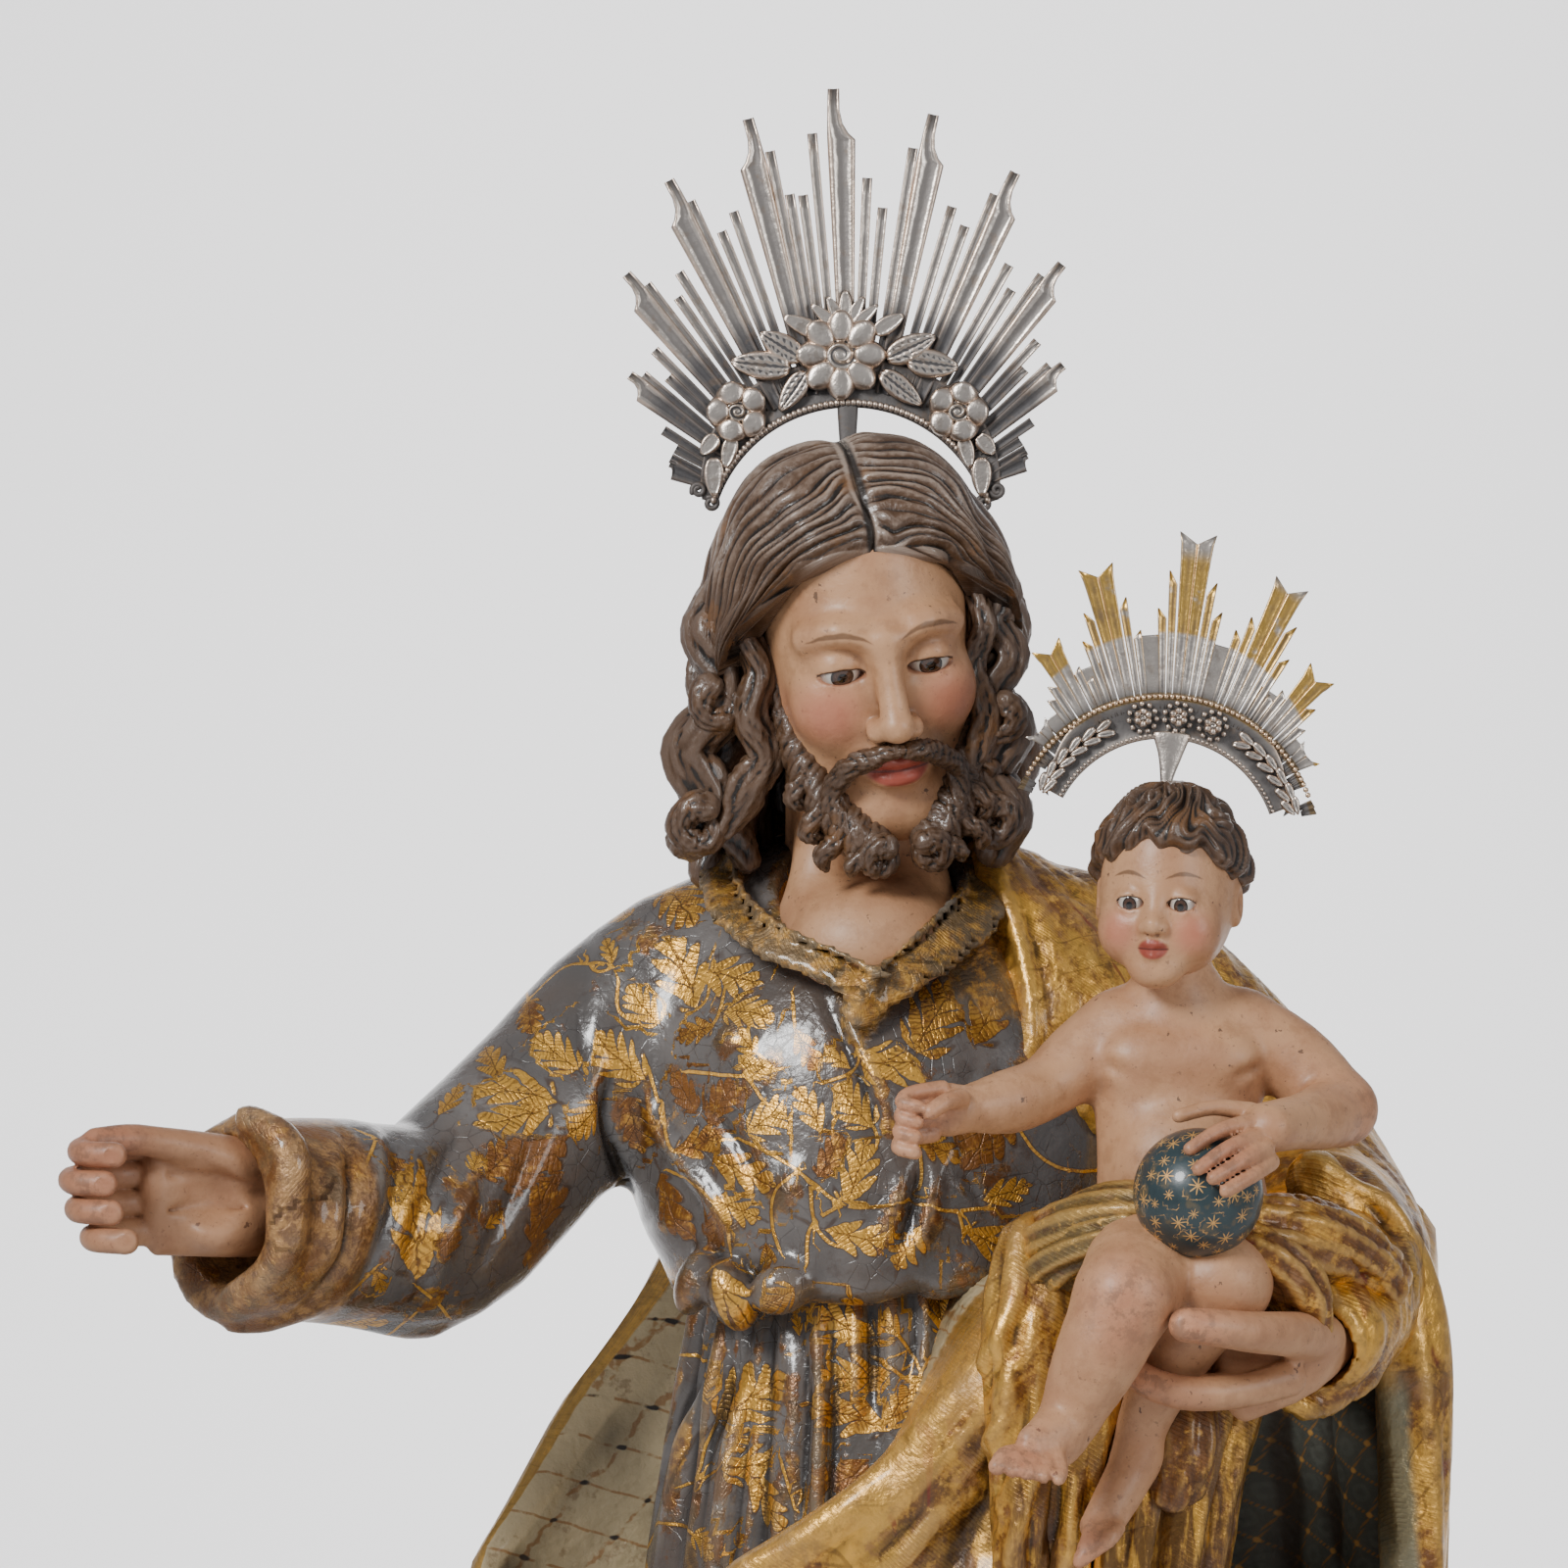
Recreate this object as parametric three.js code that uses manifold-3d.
// A standing carved and painted wooden saint who holds out the right hand and carries a child on the left forearm.
// Both wear sheet silver halos with rays. The child rests a hand on a starry globe. The figure stands on a low plinth.
// Millimetres, +Z up, the figure faces -Y, and the origin is the centre of the plinth's underside.

import * as THREE from "three";
import { LoftGeometry } from "three/addons/geometries/LoftGeometry.js";
import { mergeVertices } from "three/addons/utils/BufferGeometryUtils.js";
import Module from "manifold-3d";

const wasm = await Module();
wasm.setup();

// Driving dimensions
const PLINTH_HEIGHT = 55;
const PLINTH_WIDTH = 300;
const PLINTH_DEPTH = 284;
const FIT_GAP = 0.5; // clearance between two pieces that touch
const FEET_LEVEL = PLINTH_HEIGHT + FIT_GAP;
const BELT_LEVEL = 652;
const HEAD = { x: 0, y: -42, z: 884, halfWidth: 37, halfDepth: 47, halfHeight: 64 };
const HEAD_TILT = { nod: 18, turn: 8, lean: -8 }; // degrees: face down, face towards +X, chin towards +X
const CHILD_HEAD = { x: 99, y: -130, z: 799, halfWidth: 26, halfDepth: 29, halfHeight: 32 };
const GLOBE = { x: 106, y: -175, z: 701, radius: 21 };
const HALO = { x: -4, y: 12, z: 915, inner: 48.8, band: 74, tip: 160, thick: 1.6 };
const CHILD_HALO = { x: 98, y: -112, z: 810, inner: 37.5, band: 51.5, tip: 103, thick: 1.2, lean: 4.5 };
const MANTLE_AXIS = { x: 15, y: -5 };

const UP = new THREE.Vector3(0, 0, 1);
const BACK = new THREE.Vector3(0, 1, 0);
const rad = THREE.MathUtils.degToRad;
const lerp = THREE.MathUtils.lerp;

// Solids

function signedVolume(position, triangles) {
  const [a, b, c] = [new THREE.Vector3(), new THREE.Vector3(), new THREE.Vector3()];
  let sum = 0;
  for (let i = 0; i < triangles.length; i += 3) {
    a.fromBufferAttribute(position, triangles[i]);
    b.fromBufferAttribute(position, triangles[i + 1]);
    c.fromBufferAttribute(position, triangles[i + 2]);
    sum += a.dot(b.cross(c)) / 6;
  }
  return sum;
}

// A closed three.js geometry as a solid whose faces point outwards.
function solid(geometry) {
  const bare = new THREE.BufferGeometry().copy(geometry);
  bare.deleteAttribute("normal");
  bare.deleteAttribute("uv");
  const merged = mergeVertices(bare, 1e-3);
  const triVerts = new Uint32Array(merged.index.array);
  const position = merged.attributes.position;
  if (signedVolume(position, triVerts) < 0) {
    for (let i = 0; i < triVerts.length; i += 3) {
      [triVerts[i + 1], triVerts[i + 2]] = [triVerts[i + 2], triVerts[i + 1]];
    }
  }
  return new wasm.Manifold(new wasm.Mesh({ numProp: 3, vertProperties: position.array, triVerts }));
}

const union = (solids) => solids.reduce((whole, piece) => whole.add(piece));

function loft(sections) {
  return solid(new LoftGeometry(sections, { capStart: true, capEnd: true }));
}

// A value that follows a table of [position, a, b, ...] rows smoothly.
function profile(table) {
  const width = table[0].length - 1;
  const curve = new THREE.CubicInterpolant(
    table.map((row) => row[0]),
    table.flatMap((row) => row.slice(1)),
    width,
    new Float64Array(width),
  );
  return (at) => [...curve.evaluate(THREE.MathUtils.clamp(at, table[0][0], table.at(-1)[0]))];
}

// A rounded limb, lock or fold: stations are [x, y, z, radius across, radius up].
function limb(stations, { sides = 8, steps = 6, grow = 0, up = UP, ends = [50] } = {}) {
  const path = new THREE.CatmullRomCurve3(stations.map(([x, y, z]) => new THREE.Vector3(x, y, z)));
  const girth = new THREE.CatmullRomCurve3(
    stations.map(([, , , across, high = across]) => new THREE.Vector3(across + grow, high + grow, 0)),
  );
  const ring = (t, end) => {
    const centre = path.getPoint(t);
    const along = path.getTangent(t);
    const across = new THREE.Vector3().crossVectors(up, along).normalize();
    const high = new THREE.Vector3().crossVectors(along, across);
    const { x: wide, y: tall } = girth.getPoint(t);
    const shrink = end === undefined ? 1 : Math.cos(rad(end));
    const push = end === undefined ? 0 : Math.sin(rad(end)) * Math.min(wide, tall) * (t > 0.5 ? 1 : -1);
    return Array.from({ length: sides }, (_, k) => {
      const turn = (2 * Math.PI * (k + 0.5)) / sides;
      return centre
        .clone()
        .addScaledVector(across, Math.cos(turn) * wide * shrink)
        .addScaledVector(high, Math.sin(turn) * tall * shrink)
        .addScaledVector(along, push);
    });
  };
  const middle = Array.from({ length: steps + 1 }, (_, i) => ring(i / steps));
  const start = ends.map((end) => ring(0, end));
  const finish = [...ends].reverse().map((end) => ring(1, end));
  return loft([...start, ...middle, ...finish]);
}

// Straight limbs between joints, for bends too sharp to sweep.
const chain = (stations, { sides = 8, grow = 0, ends = [60] } = {}) =>
  union(
    stations.slice(1).map((station, i) => {
      const steep = Math.abs(station[2] - stations[i][2]) > 0.8 * distance(station, stations[i]);
      return limb([stations[i], station], { sides, steps: 1, grow, ends, up: steep ? BACK : UP });
    }),
  );

const distance = ([ax, ay, az], [bx, by, bz]) => Math.hypot(ax - bx, ay - by, az - bz);

function ball(x, y, z, rx, ry = rx, rz = rx, grow = 0, across = 10, up = 7) {
  const shape = new THREE.SphereGeometry(1, across, up).rotateX(Math.PI / 2);
  return solid(shape.scale(rx + grow, ry + grow, rz + grow).translate(x, y, z));
}

// A draped body whose level outlines are ovals: table rows are [z, centre x, centre y, half width, half depth].
function column(table, levels, sides, fold = () => 0) {
  const at = profile(table);
  const [low, high] = [table[0][0], table.at(-1)[0]];
  const sections = Array.from({ length: levels + 1 }, (_, i) => {
    const z = lerp(low, high, i / levels);
    const [cx, cy, rx, ry] = at(z);
    return Array.from({ length: sides }, (_, k) => {
      const turn = (2 * Math.PI * k) / sides;
      const out = fold(turn, z);
      return new THREE.Vector3(cx + (rx + out) * Math.cos(turn), cy + (ry + out) * Math.sin(turn), z);
    });
  });
  return loft(sections);
}

// Tunic, sleeves and mantle

function skirtFold(turn, z) {
  const depth = lerp(7, 1.5, THREE.MathUtils.smoothstep(z, 100, BELT_LEVEL));
  return depth * (Math.cos(13 * turn + z / 90) + 0.4 * Math.cos(5 * turn - z / 120));
}

function tunicSkirt() {
  const table = [
    [FEET_LEVEL, 12, -4, 118, 98],
    [80, 12, -4, 120, 100],
    [200, 12, -4, 112, 94],
    [400, 12, -5, 98, 84],
    [560, 12, -6, 87, 75],
    [BELT_LEVEL, 12, -8, 72, 60],
  ];
  return column(table, 5, 30, skirtFold);
}

function tunicBody() {
  const table = [
    [BELT_LEVEL - 10, 12, -8, 70, 58],
    [BELT_LEVEL - 4, 12, -10, 76, 66],
    [664, 12, -12, 81, 71],
    [690, 7, -10, 86, 69],
    [722, 5, -8, 85, 67],
    [752, 3, -6, 78, 61],
    [778, 3, -3, 64, 50],
    [800, 2, 0, 48, 38],
    [812, 2, 2, 34, 30],
  ];
  const puff = (turn, z) => 2.5 * Math.cos(9 * turn + z / 40) * THREE.MathUtils.smoothstep(-z, -700, -BELT_LEVEL);
  return column(table, 9, 20, puff);
}

const collar = () =>
  limb(
    [
      [6, -74, 770, 6],
      [-24, -62, 790, 6],
      [-38, -30, 808, 6],
      [-32, 10, 818, 6],
      [0, 26, 820, 6],
      [34, 10, 818, 6],
      [42, -26, 808, 6],
      [30, -60, 790, 6],
      [6, -74, 770, 6],
    ],
    { steps: 12, sides: 5 },
  );

const RIGHT_SLEEVE = [
  [-20, 2, 774, 26, 30],
  [-52, 0, 768, 30, 33],
  [-82, -4, 747, 32, 34],
  [-104, -12, 725, 33, 33],
  [-126, -28, 702, 34, 34],
  [-147, -46, 683, 34, 35],
  [-166, -63, 684, 33, 34],
  [-186, -80, 686, 32, 33],
  [-199, -92, 686, 33, 35],
];

function rightSleeve() {
  const cuff = limb(
    [
      [-180, -76, 687, 33, 35],
      [-194, -88, 686, 35, 37],
      [-206, -98, 685, 34, 36.5],
    ],
    { sides: 12, steps: 2, ends: [20] },
  );
  const mouth = limb(
    [
      [-188, -83, 690, 20, 24],
      [-200, -93, 687, 27, 29],
      [-216, -106, 684, 31, 33],
    ],
    { sides: 12, steps: 2, ends: [30] },
  );
  return limb(RIGHT_SLEEVE, { sides: 12, steps: 10 }).add(cuff).subtract(mouth);
}

// The mantle lies over the left shoulder and upper arm, and its end is thrown over the forearm.
function leftSleeve() {
  const shoulder = limb(
    [
      [48, 2, 777, 30, 30],
      [78, 2, 766, 36, 36],
      [108, 4, 742, 38, 38],
      [132, 2, 712, 40, 39],
      [150, -18, 682, 40, 38],
      [158, -58, 667, 35, 36],
      [154, -98, 659, 29, 31],
    ],
    { sides: 12, steps: 8, ends: [40] },
  );
  const cuff = limb(
    [
      [157, -92, 660, 28, 30],
      [154, -112, 655, 25, 26],
      [148, -130, 650, 23, 24],
    ],
    { sides: 12, steps: 2, ends: [15] },
  );
  const mouth = limb(
    [
      [153, -112, 654, 15, 16],
      [148, -130, 650, 19, 20],
      [140, -148, 646, 23, 24],
    ],
    { sides: 12, steps: 2, ends: [15] },
  );
  return shoulder.add(cuff).subtract(mouth);
}

// Rows: direction round the body in degrees, top edge level, its radius, radius half way down, hem level, its radius,
// and how thick the carving is. It starts at the free edge under the left forearm and runs round the back to the front.
const MANTLE = [
  [-22, 668, 184, 190, 190, 182, 10],
  [0, 700, 178, 190, 160, 180, 10],
  [25, 738, 142, 176, 140, 168, 12],
  [50, 775, 92, 152, 128, 158, 70],
  [90, 778, 70, 118, 120, 142, 62],
  [120, 736, 80, 116, 120, 144, 60],
  [150, 674, 94, 124, 130, 152, 30],
  [170, 566, 148, 150, 145, 156, 10],
  [190, 524, 158, 156, 160, 156, 10],
  [215, 530, 140, 146, 178, 148, 20],
  [240, 573, 120, 134, 205, 138, 66],
  [265, 611, 113, 130, 240, 134, 76],
  [285, 662, 128, 134, 280, 134, 80],
  [302, 672, 138, 136, 310, 134, 80],
];

function mantleFold(turn, share) {
  const swept = THREE.MathUtils.smoothstep(turn, 205, 240) * Math.pow(share, 1.5);
  const hanging = Math.cos(rad(turn) * 17 + share * 2) * lerp(6, 1.5, share);
  const pulled = 5 * Math.cos(share * 30 + rad(turn) * 2);
  return lerp(hanging, pulled, swept) + 5 * Math.exp(-Math.pow((share - 0.98) / 0.05, 2));
}

function mantle() {
  const at = profile(MANTLE);
  const [first, last] = [MANTLE[0][0], MANTLE.at(-1)[0]];
  const columns = 30;
  const rows = 6;
  const sections = Array.from({ length: columns + 1 }, (_, i) => {
    const turn = lerp(first, last, i / columns);
    const [topZ, topR, midR, hemZ, hemR, thick] = at(turn);
    const ray = new THREE.Vector3(Math.cos(rad(turn)), Math.sin(rad(turn)), 0);
    const point = (share, inward) => {
      const radius =
        hemR * (1 - share) * (1 - 2 * share) + midR * 4 * share * (1 - share) + topR * share * (2 * share - 1);
      const out = radius + mantleFold(turn, share) - inward;
      return new THREE.Vector3(MANTLE_AXIS.x, MANTLE_AXIS.y, lerp(hemZ, topZ, share)).addScaledVector(ray, out);
    };
    const shares = Array.from({ length: rows + 1 }, (_, k) => k / rows);
    return [...shares.map((s) => point(s, thick)), ...shares.reverse().map((s) => point(s, 0))];
  });
  return loft(sections);
}

// Folds of the mantle gathered under the child and falling from the forearm
const gatheredFolds = () =>
  union(
    [
      [[62, -132, 676, 13, 12], [56, -142, 640, 12, 12], [52, -138, 590, 10, 10], [50, -134, 520, 7, 7]],
      [[92, -132, 656, 14, 14], [86, -142, 610, 12, 12], [80, -136, 540, 11, 10], [78, -130, 420, 8, 8]],
      [[120, -112, 640, 12, 14], [110, -122, 600, 10, 12], [104, -122, 540, 9, 9], [102, -118, 470, 7, 7]],
    ].map((stations) => limb(stations, { sides: 6, steps: 4, up: BACK })),
  );

const foot = (x, y, turn) =>
  union([
    limb(
      [
        [x - 18 * Math.sin(turn), y + 24, 70, 13, 12],
        [x, y, 67, 15, 11],
        [x + 10 * Math.sin(turn), y - 22, 61, 15, 5],
      ],
      { sides: 8, steps: 2 },
    ),
  ]);

// Head, hair and beard of the saint, upright about its own centre

const ringOf = (count, make) => Array.from({ length: count }, (_, i) => make(i, i / count));

function face() {
  const { halfWidth: w, halfDepth: d, halfHeight: h } = HEAD;
  const skull = [
    [-0.98 * h, 3, -0.62 * d, 10, 10],
    [-0.86 * h, 2, -0.5 * d, 20, 20],
    [-0.6 * h, 0, -0.28 * d, 0.76 * w, 0.62 * d],
    [-0.25 * h, 0, -0.1 * d, 0.97 * w, 0.8 * d],
    [0.15 * h, 0, -0.02 * d, w, 0.88 * d],
    [0.55 * h, 0, 0.02 * d, 0.92 * w, 0.84 * d],
    [0.9 * h, 0, 0.08 * d, 0.52 * w, 0.5 * d],
  ];
  return union([
    column(skull, 7, 14),
    limb([[0, -0.84 * d, 10, 3], [0, -0.94 * d, -8, 4.5], [0, -1.02 * d, -15, 6]], { sides: 6, steps: 2 }),
    ball(0, -0.9 * d, -32, 10, 6, 4, 0, 7, 4),
  ]);
}

function hairCap() {
  const shell = column(
    [
      [-46, 0, 16, 34, 30],
      [-30, 0, 12, 45, 42],
      [0, 0, 8, 49, 50],
      [30, 0, 5, 46, 50],
      [52, 0, 6, 33, 38],
      [66, 0, 8, 14, 16],
      [69, 0, 8, 5, 6],
    ],
    6,
    18,
    (turn, z) => 1.3 * Math.cos(9 * turn + z / 6),
  );
  const brow = limb([[0, -60, -70, 30, 34], [0, -50, -24, 33, 30], [0, -54, 16, 30, 26], [0, -58, 46, 9, 16]], {
    sides: 10,
    steps: 4,
    up: BACK,
  });
  return shell.subtract(brow);
}

// Wavy locks that fall from the temples to the shoulders: start, end and how far the waves swing out
function locks() {
  const falls = [
    [[40, -22, 16], [44, -6, -92], 8, 15, 0],
    [[44, 6, 6], [38, 22, -94], 7, 17, 2.2],
    [[14, 42, 4], [12, 40, -90], 4, 19, 1],
  ];
  const lock = (side, [from, to, swing, thick, phase]) => {
    const stations = ringOf(7, (i) => {
      const t = i / 6;
      const out = swing * Math.sin(t * 2.6 * Math.PI * 1.1 + phase + (side > 0 ? 0.8 : 0)) + 6 * Math.sin(t * Math.PI);
      const away = Math.hypot(from[0], from[1]);
      const x = lerp(from[0], to[0], t) + (out * from[0]) / away;
      const y = lerp(from[1], to[1], t) + (out * from[1]) / away;
      const girth = thick * (0.62 + 0.38 * Math.sin(Math.PI * Math.min(1, t + 0.25)));
      return [side * x, y, lerp(from[2], to[2], t), girth * 0.85, girth * 0.8];
    });
    return limb(stations, { sides: 5, steps: 6, up: BACK });
  };
  return union([-1, 1].flatMap((side) => falls.map((fall) => lock(side, fall))));
}

function beard() {
  const { halfDepth: d } = HEAD;
  const jaw = (side) =>
    limb(
      [
        [side * 35, -0.3 * d, -18, 7],
        [side * 28, -0.62 * d, -38, 8],
        [side * 14, -0.86 * d, -56, 10],
        [side * 10, -0.98 * d, -74, 5],
      ],
      { sides: 7, steps: 5 },
    );
  const moustache = (side) =>
    limb([[0, -1.02 * d, -24, 3], [side * 11, -0.98 * d, -27, 4], [side * 19, -0.82 * d, -42, 4]], {
      sides: 5,
      steps: 2,
    });
  return union([-1, 1].flatMap((side) => [jaw(side), moustache(side)]));
}

function placed(shape, { x, y, z }, { nod, turn, lean }) {
  return shape.rotate([nod, 0, 0]).rotate([0, lean, 0]).rotate([0, 0, turn]).translate([x, y, z]);
}

const saintHead = () => placed(union([face(), hairCap(), locks(), beard()]), HEAD, HEAD_TILT);

const neck = () =>
  limb([[2, 2, 780, 34, 34], [2, -8, 812, 31, 30], [0, -24, 850, 29, 30]], { sides: 10, steps: 2, up: BACK });

// Hands: each finger is a chain of stations with its own girth

function rightHand(grow = 0) {
  const fingers = ringOf(4, (i) => {
    const z = 713 - 9.6 * i;
    const reach = [0, 3, 1, -4][i];
    const stations = [
      [-226, -115, z, 5.2],
      [-252 - reach, -129, z - 0.5, 5],
      [-256 - reach, -148, z - 1, 4.2],
    ];
    return limb(stations, { sides: 6, steps: 2, grow });
  });
  const thumb = limb([[-212, -112, 711, 8], [-226, -124, 718, 6.5], [-244, -138, 719, 4.8]], { sides: 6, steps: 2, grow });
  const palm = limb(
    [
      [-190, -88, 694, 13, 15],
      [-206, -99, 695, 11, 15],
      [-219, -108, 699, 9.5, 20],
      [-232, -117, 699, 7, 19],
    ],
    { sides: 8, steps: 3, grow },
  );
  return union([palm, thumb, ...fingers]);
}

function leftHand(grow = 0) {
  const fingers = ringOf(4, (i) => {
    const y = 9 * i;
    const stations = [
      [134, -160 + y, 640, 6],
      [102, -173 + y, 636, 5.6],
      [84, -169 + y, 644, 4.6],
    ];
    return limb(stations, { sides: 6, steps: 2, grow, up: BACK });
  });
  const thumb = limb([[146, -158, 652, 7], [128, -182, 656, 6.2], [103, -193, 659, 5.6]], {
    sides: 7,
    steps: 2,
    grow,
  });
  const palm = limb(
    [
      [154, -108, 654, 12, 13],
      [148, -132, 649, 12.5, 13],
      [136, -148, 644, 14, 10],
      [118, -152, 641, 15, 7],
    ],
    { sides: 8, steps: 3, grow },
  );
  return union([palm, thumb, ...fingers]);
}

// The child

function childHead(grow) {
  const { x, y, z, halfWidth: w, halfDepth: d, halfHeight: h } = CHILD_HEAD;
  return union([
    ball(x, y, z, w, d, h, grow, 12, 9),
    ball(x + 1, y - d - 1, z - 8, 4, 4, 4, grow, 5, 4),
    ...[-1, 1].map((side) => ball(x + side * w, y + 2, z - 4, 3, 4, 7, grow, 5, 4)),
  ]);
}

function childTrunk(grow) {
  return union([
    limb(
      [
        [102, -122, 764, 17, 13],
        [102, -124, 745, 31, 18],
        [102, -128, 722, 26, 20],
        [103, -129, 700, 27, 23],
        [104, -128, 684, 30, 25],
      ],
      { sides: 10, steps: 4, grow, up: BACK },
    ),
    limb([[102, -126, 762, 12], [101, -128, 778, 11]], { sides: 8, steps: 1, grow, up: BACK }),
  ]);
}

function childArms(grow) {
  const right = [
    [80, -122, 753, 12],
    [62, -130, 735, 12],
    [38, -151, 727, 8.5],
    [21, -158, 727, 8],
  ];
  const left = [
    [[126, -122, 752, 12.5], [154, -130, 725, 13]],
    [[154, -130, 725, 12.5], [132, -164, 719, 8.5], [114, -185, 722, 8]],
  ];
  const curled = ringOf(3, (i) => [
    [20, -160, 730 - 5 * i, 3.4],
    [11, -165, 728 - 5 * i, 3],
  ]);
  const spread = ringOf(4, (i) => [onGlobe(26 - 3 * i, 58 - 3 * i, 5), onGlobe(-4 + 13 * i, 38 - 9 * i, 3)]);
  return union([
    limb(right, { sides: 8, steps: 4, grow }),
    ...left.map((arm) => limb(arm, { sides: 8, steps: arm.length - 1, grow })),
    ...[...curled, ...spread].map((finger) => chain(finger, { sides: 5, grow, ends: [45] })),
  ]);
}

// A place just over the globe's surface, by direction and height in degrees.
const onGlobe = (turn, rise, lift) => [
  GLOBE.x + (GLOBE.radius + lift) * Math.sin(rad(turn)) * Math.cos(rad(rise)),
  GLOBE.y - (GLOBE.radius + lift) * Math.cos(rad(turn)) * Math.cos(rad(rise)),
  GLOBE.z + (GLOBE.radius + lift) * Math.sin(rad(rise)),
  2.8,
];

function childLegs(grow) {
  const thighs = [
    [[98, -138, 684, 19], [82, -186, 667, 17.5]],
    [[112, -136, 684, 17], [114, -168, 672, 16]],
  ];
  const shins = [
    [[82, -186, 667, 16.5], [71, -186, 648, 14.5], [60, -183, 627, 10.5], [53, -191, 617, 9.5], [46, -198, 612, 6]],
    [[114, -168, 672, 15.5], [103, -158, 648, 12], [90, -148, 616, 8.5], [80, -154, 600, 8], [69, -162, 586, 5.5]],
  ];
  return union([
    ...thighs.map((thigh) => chain(thigh, { sides: 8, grow })),
    ...shins.map((shin) => limb(shin, { sides: 8, steps: 5, grow, up: BACK })),
  ]);
}

function lapCloth(grow) {
  return union([
    limb(
      [
        [66, -118, 678, 11, 9],
        [74, -146, 690, 10, 8],
        [92, -160, 694, 8, 8],
        [112, -160, 690, 9, 8],
        [132, -150, 684, 12, 10],
        [146, -130, 680, 12, 10],
      ],
      { sides: 7, steps: 6, grow },
    ),
    chain([[128, -156, 688, 9], [136, -158, 664, 7]], { sides: 6, grow }),
  ]);
}

function child(grow = 0) {
  return union([childHead(grow), childTrunk(grow), childArms(grow), childLegs(grow), lapCloth(grow)]);
}

// Halos: rays cut from one sheet, on a raised band with flowers

// Corners of a ray's tip: [share of its width across, how many widths below the tip].
const RAY_TIPS = {
  bar: [[-0.5, 0], [0.5, 0]],
  fork: [[-0.5, 0.1], [0, 0.4], [0.5, 0]],
  notch: [[-0.5, 0], [-0.1, 0], [-0.12, 1.8], [0.5, 3.4]],
  mirrored: [[-0.5, 3.4], [0.12, 1.8], [0.1, 0], [0.5, 0]],
};

// A flat sheet in an upright plane with rays all round: each ray is { turn, reach, width, tip } in degrees and mm.
function raySheet({ x, y, z, inner, thick }, rays, reach, lean) {
  const polar = (radius, turn, across = 0) => {
    const [sin, cos] = [Math.sin(rad(turn + lean)), Math.cos(rad(turn + lean))];
    return new THREE.Vector2(radius * sin + across * cos, radius * cos - across * sin);
  };
  const ordered = [...rays].sort((a, b) => a.turn - b.turn);
  const corners = ordered.flatMap(({ turn, reach: out, width, tip }, i) => {
    const next = ordered[i + 1];
    const tips = RAY_TIPS[tip].map(([across, below]) => polar(out - below * width, turn, across * width));
    if (!next) return tips;
    const [a, b] = [width * out, next.width * next.reach];
    const valley = Math.min(out, next.reach) * 0.66;
    return [...tips, polar(Math.max(valley, inner + 6), (turn * b + next.turn * a) / (a + b))];
  });
  const arc = ringOf(13, (i) => polar(inner + 2, lerp(reach, -reach, i / 12)));
  const sheet = new THREE.ExtrudeGeometry(new THREE.Shape([...corners, ...arc]), { depth: thick, bevelEnabled: false });
  return solid(sheet.translate(0, 0, -thick / 2).rotateX(Math.PI / 2).translate(x, y, z));
}

// An arched band, thicker than the sheet, that tapers towards both ends.
function band({ x, y, z, inner }, outer, reach, lean, thick, steps) {
  const at = (radius, turn) => [radius * Math.sin(rad(turn + lean)), radius * Math.cos(rad(turn + lean))];
  const turns = ringOf(steps + 1, (i) => lerp(-reach, reach, i / steps));
  const taper = (turn) => Math.sin((Math.PI / 2) * Math.min(1, 1.6 * (1 - Math.abs(turn) / (reach + 6))));
  const corners = [
    ...turns.map((turn) => at(inner, turn)),
    ...turns.reverse().map((turn) => at(lerp(inner + 3, outer, taper(turn)), turn)),
  ];
  const shape = new THREE.Shape(corners.map(([across, up]) => new THREE.Vector2(across, up)));
  const sheet = new THREE.ExtrudeGeometry(shape, { depth: thick, bevelEnabled: false });
  return solid(sheet.translate(0, 0, -thick / 2).rotateX(Math.PI / 2).translate(x, y, z));
}

// A domed rosette with a scalloped edge on the front of a halo.
function flower({ x, y, z }, turn, radius, petals, size, high) {
  const sides = petals * 2;
  const [cx, cz] = [x + radius * Math.sin(rad(turn)), z + radius * Math.cos(rad(turn))];
  const ring = (share, out) =>
    ringOf(sides, (i) => {
      const angle = (2 * Math.PI * i) / sides;
      const r = size * share * (1 + 0.16 * share * Math.cos(petals * angle));
      return new THREE.Vector3(cx + r * Math.cos(angle), y - out, cz + r * Math.sin(angle));
    });
  return loft([ring(1, 0), ring(0.92, high * 0.6), ring(0.45, high), ring(0.15, high * 1.15)]);
}

// Long blades [angle, reach as a share of the longest] and the thin bars beside each one.
const HALO_BLADES = [
  [0, 1],
  [12.8, 0.956],
  [25.8, 0.886],
  [39, 0.762],
  [51.8, 0.604],
  [64, 0.436],
];
const HALO_BARS = [
  [-3.6, 0.9],
  [-6.2, 0.8],
  [3.4, 0.79],
];

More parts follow.
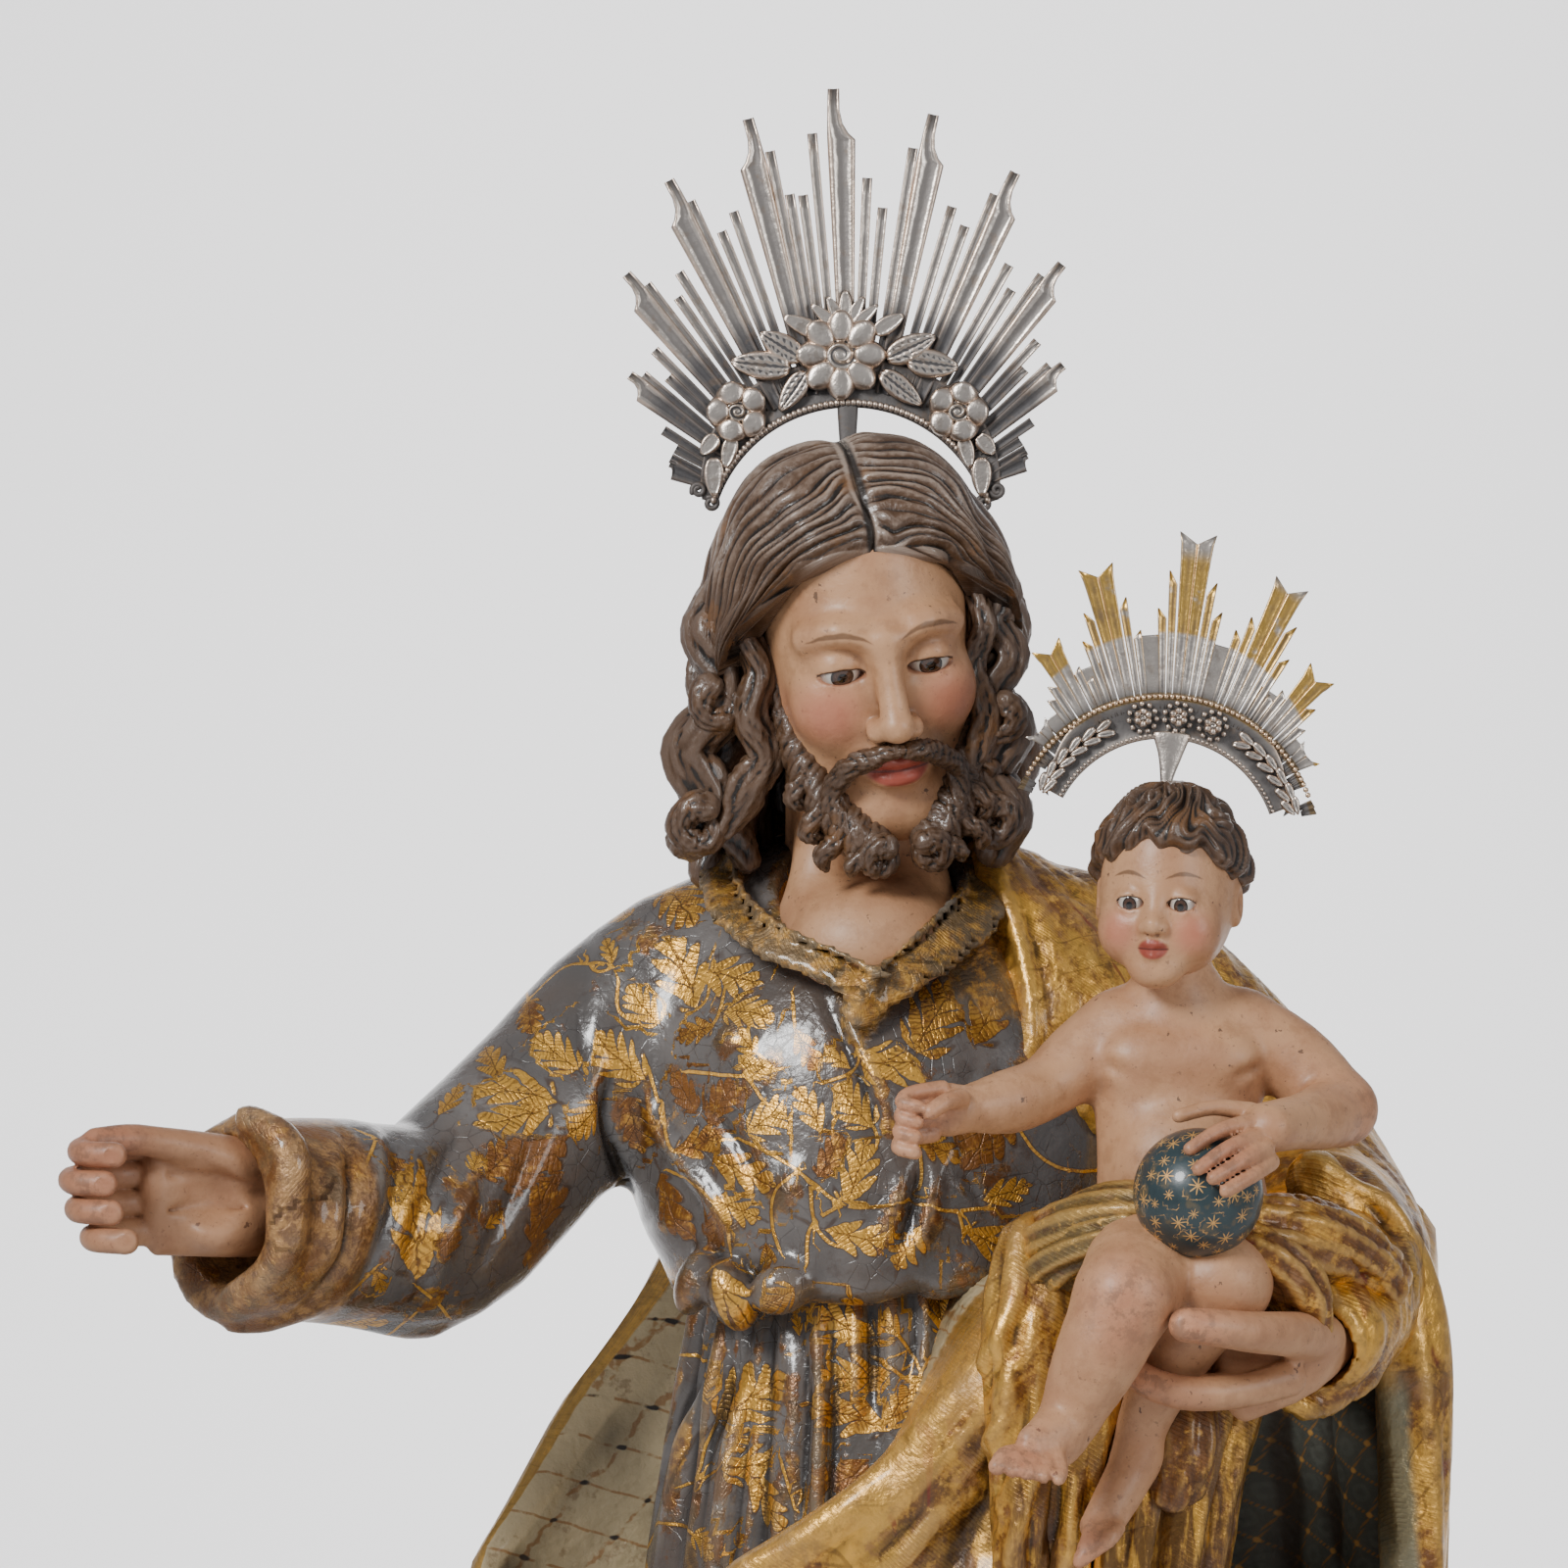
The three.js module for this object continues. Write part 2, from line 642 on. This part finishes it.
function saintHalo(grow = 0) {
  const bars = (turn, share, side) =>
    HALO_BARS.filter(([offset]) => turn > 0 || offset > -5)
      .map(([offset, part]) => ({ turn: side * (turn + offset), reach: HALO.tip * share * part, width: 3, tip: "bar" }))
      .filter(({ reach }) => reach > HALO.inner + 16);
  const rays = HALO_BLADES.flatMap(([turn, share]) =>
    (turn ? [-1, 1] : [1]).flatMap((side) => [
      {
        turn: side * turn,
        reach: HALO.tip * share,
        width: 7.6 * Math.pow(share, 0.8),
        tip: side > 0 ? "mirrored" : "notch",
      },
      ...bars(turn, share, side),
    ]),
  );
  const flowers = [
    [0, 67, 7, 15],
    [-44, 64, 5, 12],
    [44, 64, 5, 12],
  ].map(([turn, radius, petals, size]) => flower(HALO, turn, radius, petals, size, 4.5));
  return union([raySheet(HALO, rays, 70, 0), band(HALO, HALO.band, 71, 0, 3, 14), ...flowers, haloPeg(grow)]);
}

function haloPeg(grow = 0) {
  const { x, y, z, inner } = HALO;
  const stations = [
    [x + 1, y - 1, z + inner + 3, 3.4, 1.4],
    [x + 1, y - 1, z + 26, 2.4, 1.4],
  ];
  return limb(stations, { sides: 6, steps: 1, grow, up: BACK });
}

const CHILD_BLADES = [
  [0, 1],
  [18.6, 0.92],
  [34, 0.75],
  [49, 0.56],
  [62, 0.46],
];

function childHalo(grow = 0) {
  const { tip, band: outer, lean } = CHILD_HALO;
  const rays = CHILD_BLADES.flatMap(([turn, share]) =>
    (turn ? [-turn, turn] : [0]).flatMap((at) => [
      { turn: at, reach: tip * share, width: 9 * share, tip: "fork" },
      ...(share > 0.5 ? [-6, 6] : []).map((offset) => ({
        turn: at + (turn > 40 ? 0.7 : 1) * offset,
        reach: tip * share * 0.9,
        width: 2.6,
        tip: "bar",
      })),
    ]),
  );
  return union([
    raySheet(CHILD_HALO, rays, 66, lean),
    band(CHILD_HALO, outer, 66, lean, 2.2, 14),
    childHaloPeg(grow),
  ]);
}

function childHaloPeg(grow = 0) {
  const { x, y, z, inner } = CHILD_HALO;
  const stations = [
    [x + 3, y - 1, z + inner + 1, 6.5, 1.2],
    [x + 1, y - 2, z + inner - 15, 1.6, 1.2],
    [x + 1, y - 3, z + inner - 26, 1.4, 1.2],
  ];
  return limb(stations, { sides: 6, steps: 2, grow, up: BACK });
}

// A low moulded plinth with clipped corners
function plinth() {
  const outline = (inset, z) => {
    const [w, d, clip] = [PLINTH_WIDTH / 2 - inset, PLINTH_DEPTH / 2 - inset, 34];
    return [
      [w - clip, -d],
      [w, clip - d],
      [w, d - clip],
      [w - clip, d],
      [clip - w, d],
      [-w, d - clip],
      [-w, clip - d],
      [clip - w, -d],
    ].map(([x, y]) => new THREE.Vector3(x, y, z));
  };
  const steps = [
    [0, 0],
    [0, 14],
    [5, 18],
    [11, 24],
    [13, 34],
    [9, 42],
    [6, 45],
    [6, PLINTH_HEIGHT],
  ];
  return loft(steps.map(([inset, z]) => outline(inset, z)));
}

// The whole

function carvedSaint() {
  const clothes = union([tunicSkirt(), tunicBody(), collar(), rightSleeve(), leftSleeve(), mantle(), gatheredFolds()]);
  const figure = union([clothes, neck(), saintHead(), foot(-26, -102, 0.2), foot(46, -99, -0.2)]);
  return figure
    .simplify(0.05)
    .subtract(union([childTrunk(FIT_GAP), childLegs(FIT_GAP), lapCloth(FIT_GAP)]))
    .subtract(rightHand(FIT_GAP))
    .subtract(leftHand(FIT_GAP))
    .subtract(haloPeg(FIT_GAP));
}

function largest(whole) {
  const bodies = whole.decompose();
  return bodies.reduce((best, next) => (next.volume() > best.volume() ? next : best));
}

function meshOf(name, shape, color, roughness, metalness) {
  const { numProp, vertProperties, triVerts } = largest(shape).getMesh();
  const position = new THREE.BufferAttribute(new Float32Array(vertProperties), numProp);
  const geometry = new THREE.BufferGeometry().setAttribute("position", position);
  geometry.setIndex(new THREE.BufferAttribute(triVerts, 1));
  const flat = geometry.toNonIndexed();
  flat.computeVertexNormals();
  const mesh = new THREE.Mesh(flat, new THREE.MeshStandardMaterial({ color, roughness, metalness }));
  mesh.name = name;
  return mesh;
}

const group = new THREE.Group();
const globeBall = (grow = 0) => ball(GLOBE.x, GLOBE.y, GLOBE.z, GLOBE.radius, GLOBE.radius, GLOBE.radius, grow, 16, 10);
const bareChild = child().subtract(globeBall(FIT_GAP)).subtract(childHaloPeg(FIT_GAP));

group.add(
  meshOf("plinth", plinth(), 0x6b5233, 0.6, 0),
  meshOf("saint_figure", carvedSaint(), 0x77705c, 0.5, 0),
  meshOf("right_hand", rightHand(), 0xb98c74, 0.5, 0),
  meshOf("left_hand", leftHand().subtract(union([childTrunk(FIT_GAP), childLegs(FIT_GAP), lapCloth(FIT_GAP)])), 0xc0937a, 0.5, 0),
  meshOf("child_figure", bareChild, 0xc79c7f, 0.5, 0),
  meshOf("globe", globeBall(), 0x1f3236, 0.35, 0),
  meshOf("saint_halo", saintHalo(), 0xa8a49c, 0.35, 1),
  meshOf("child_halo", childHalo(), 0xb0a98f, 0.35, 1),
);

export default group;
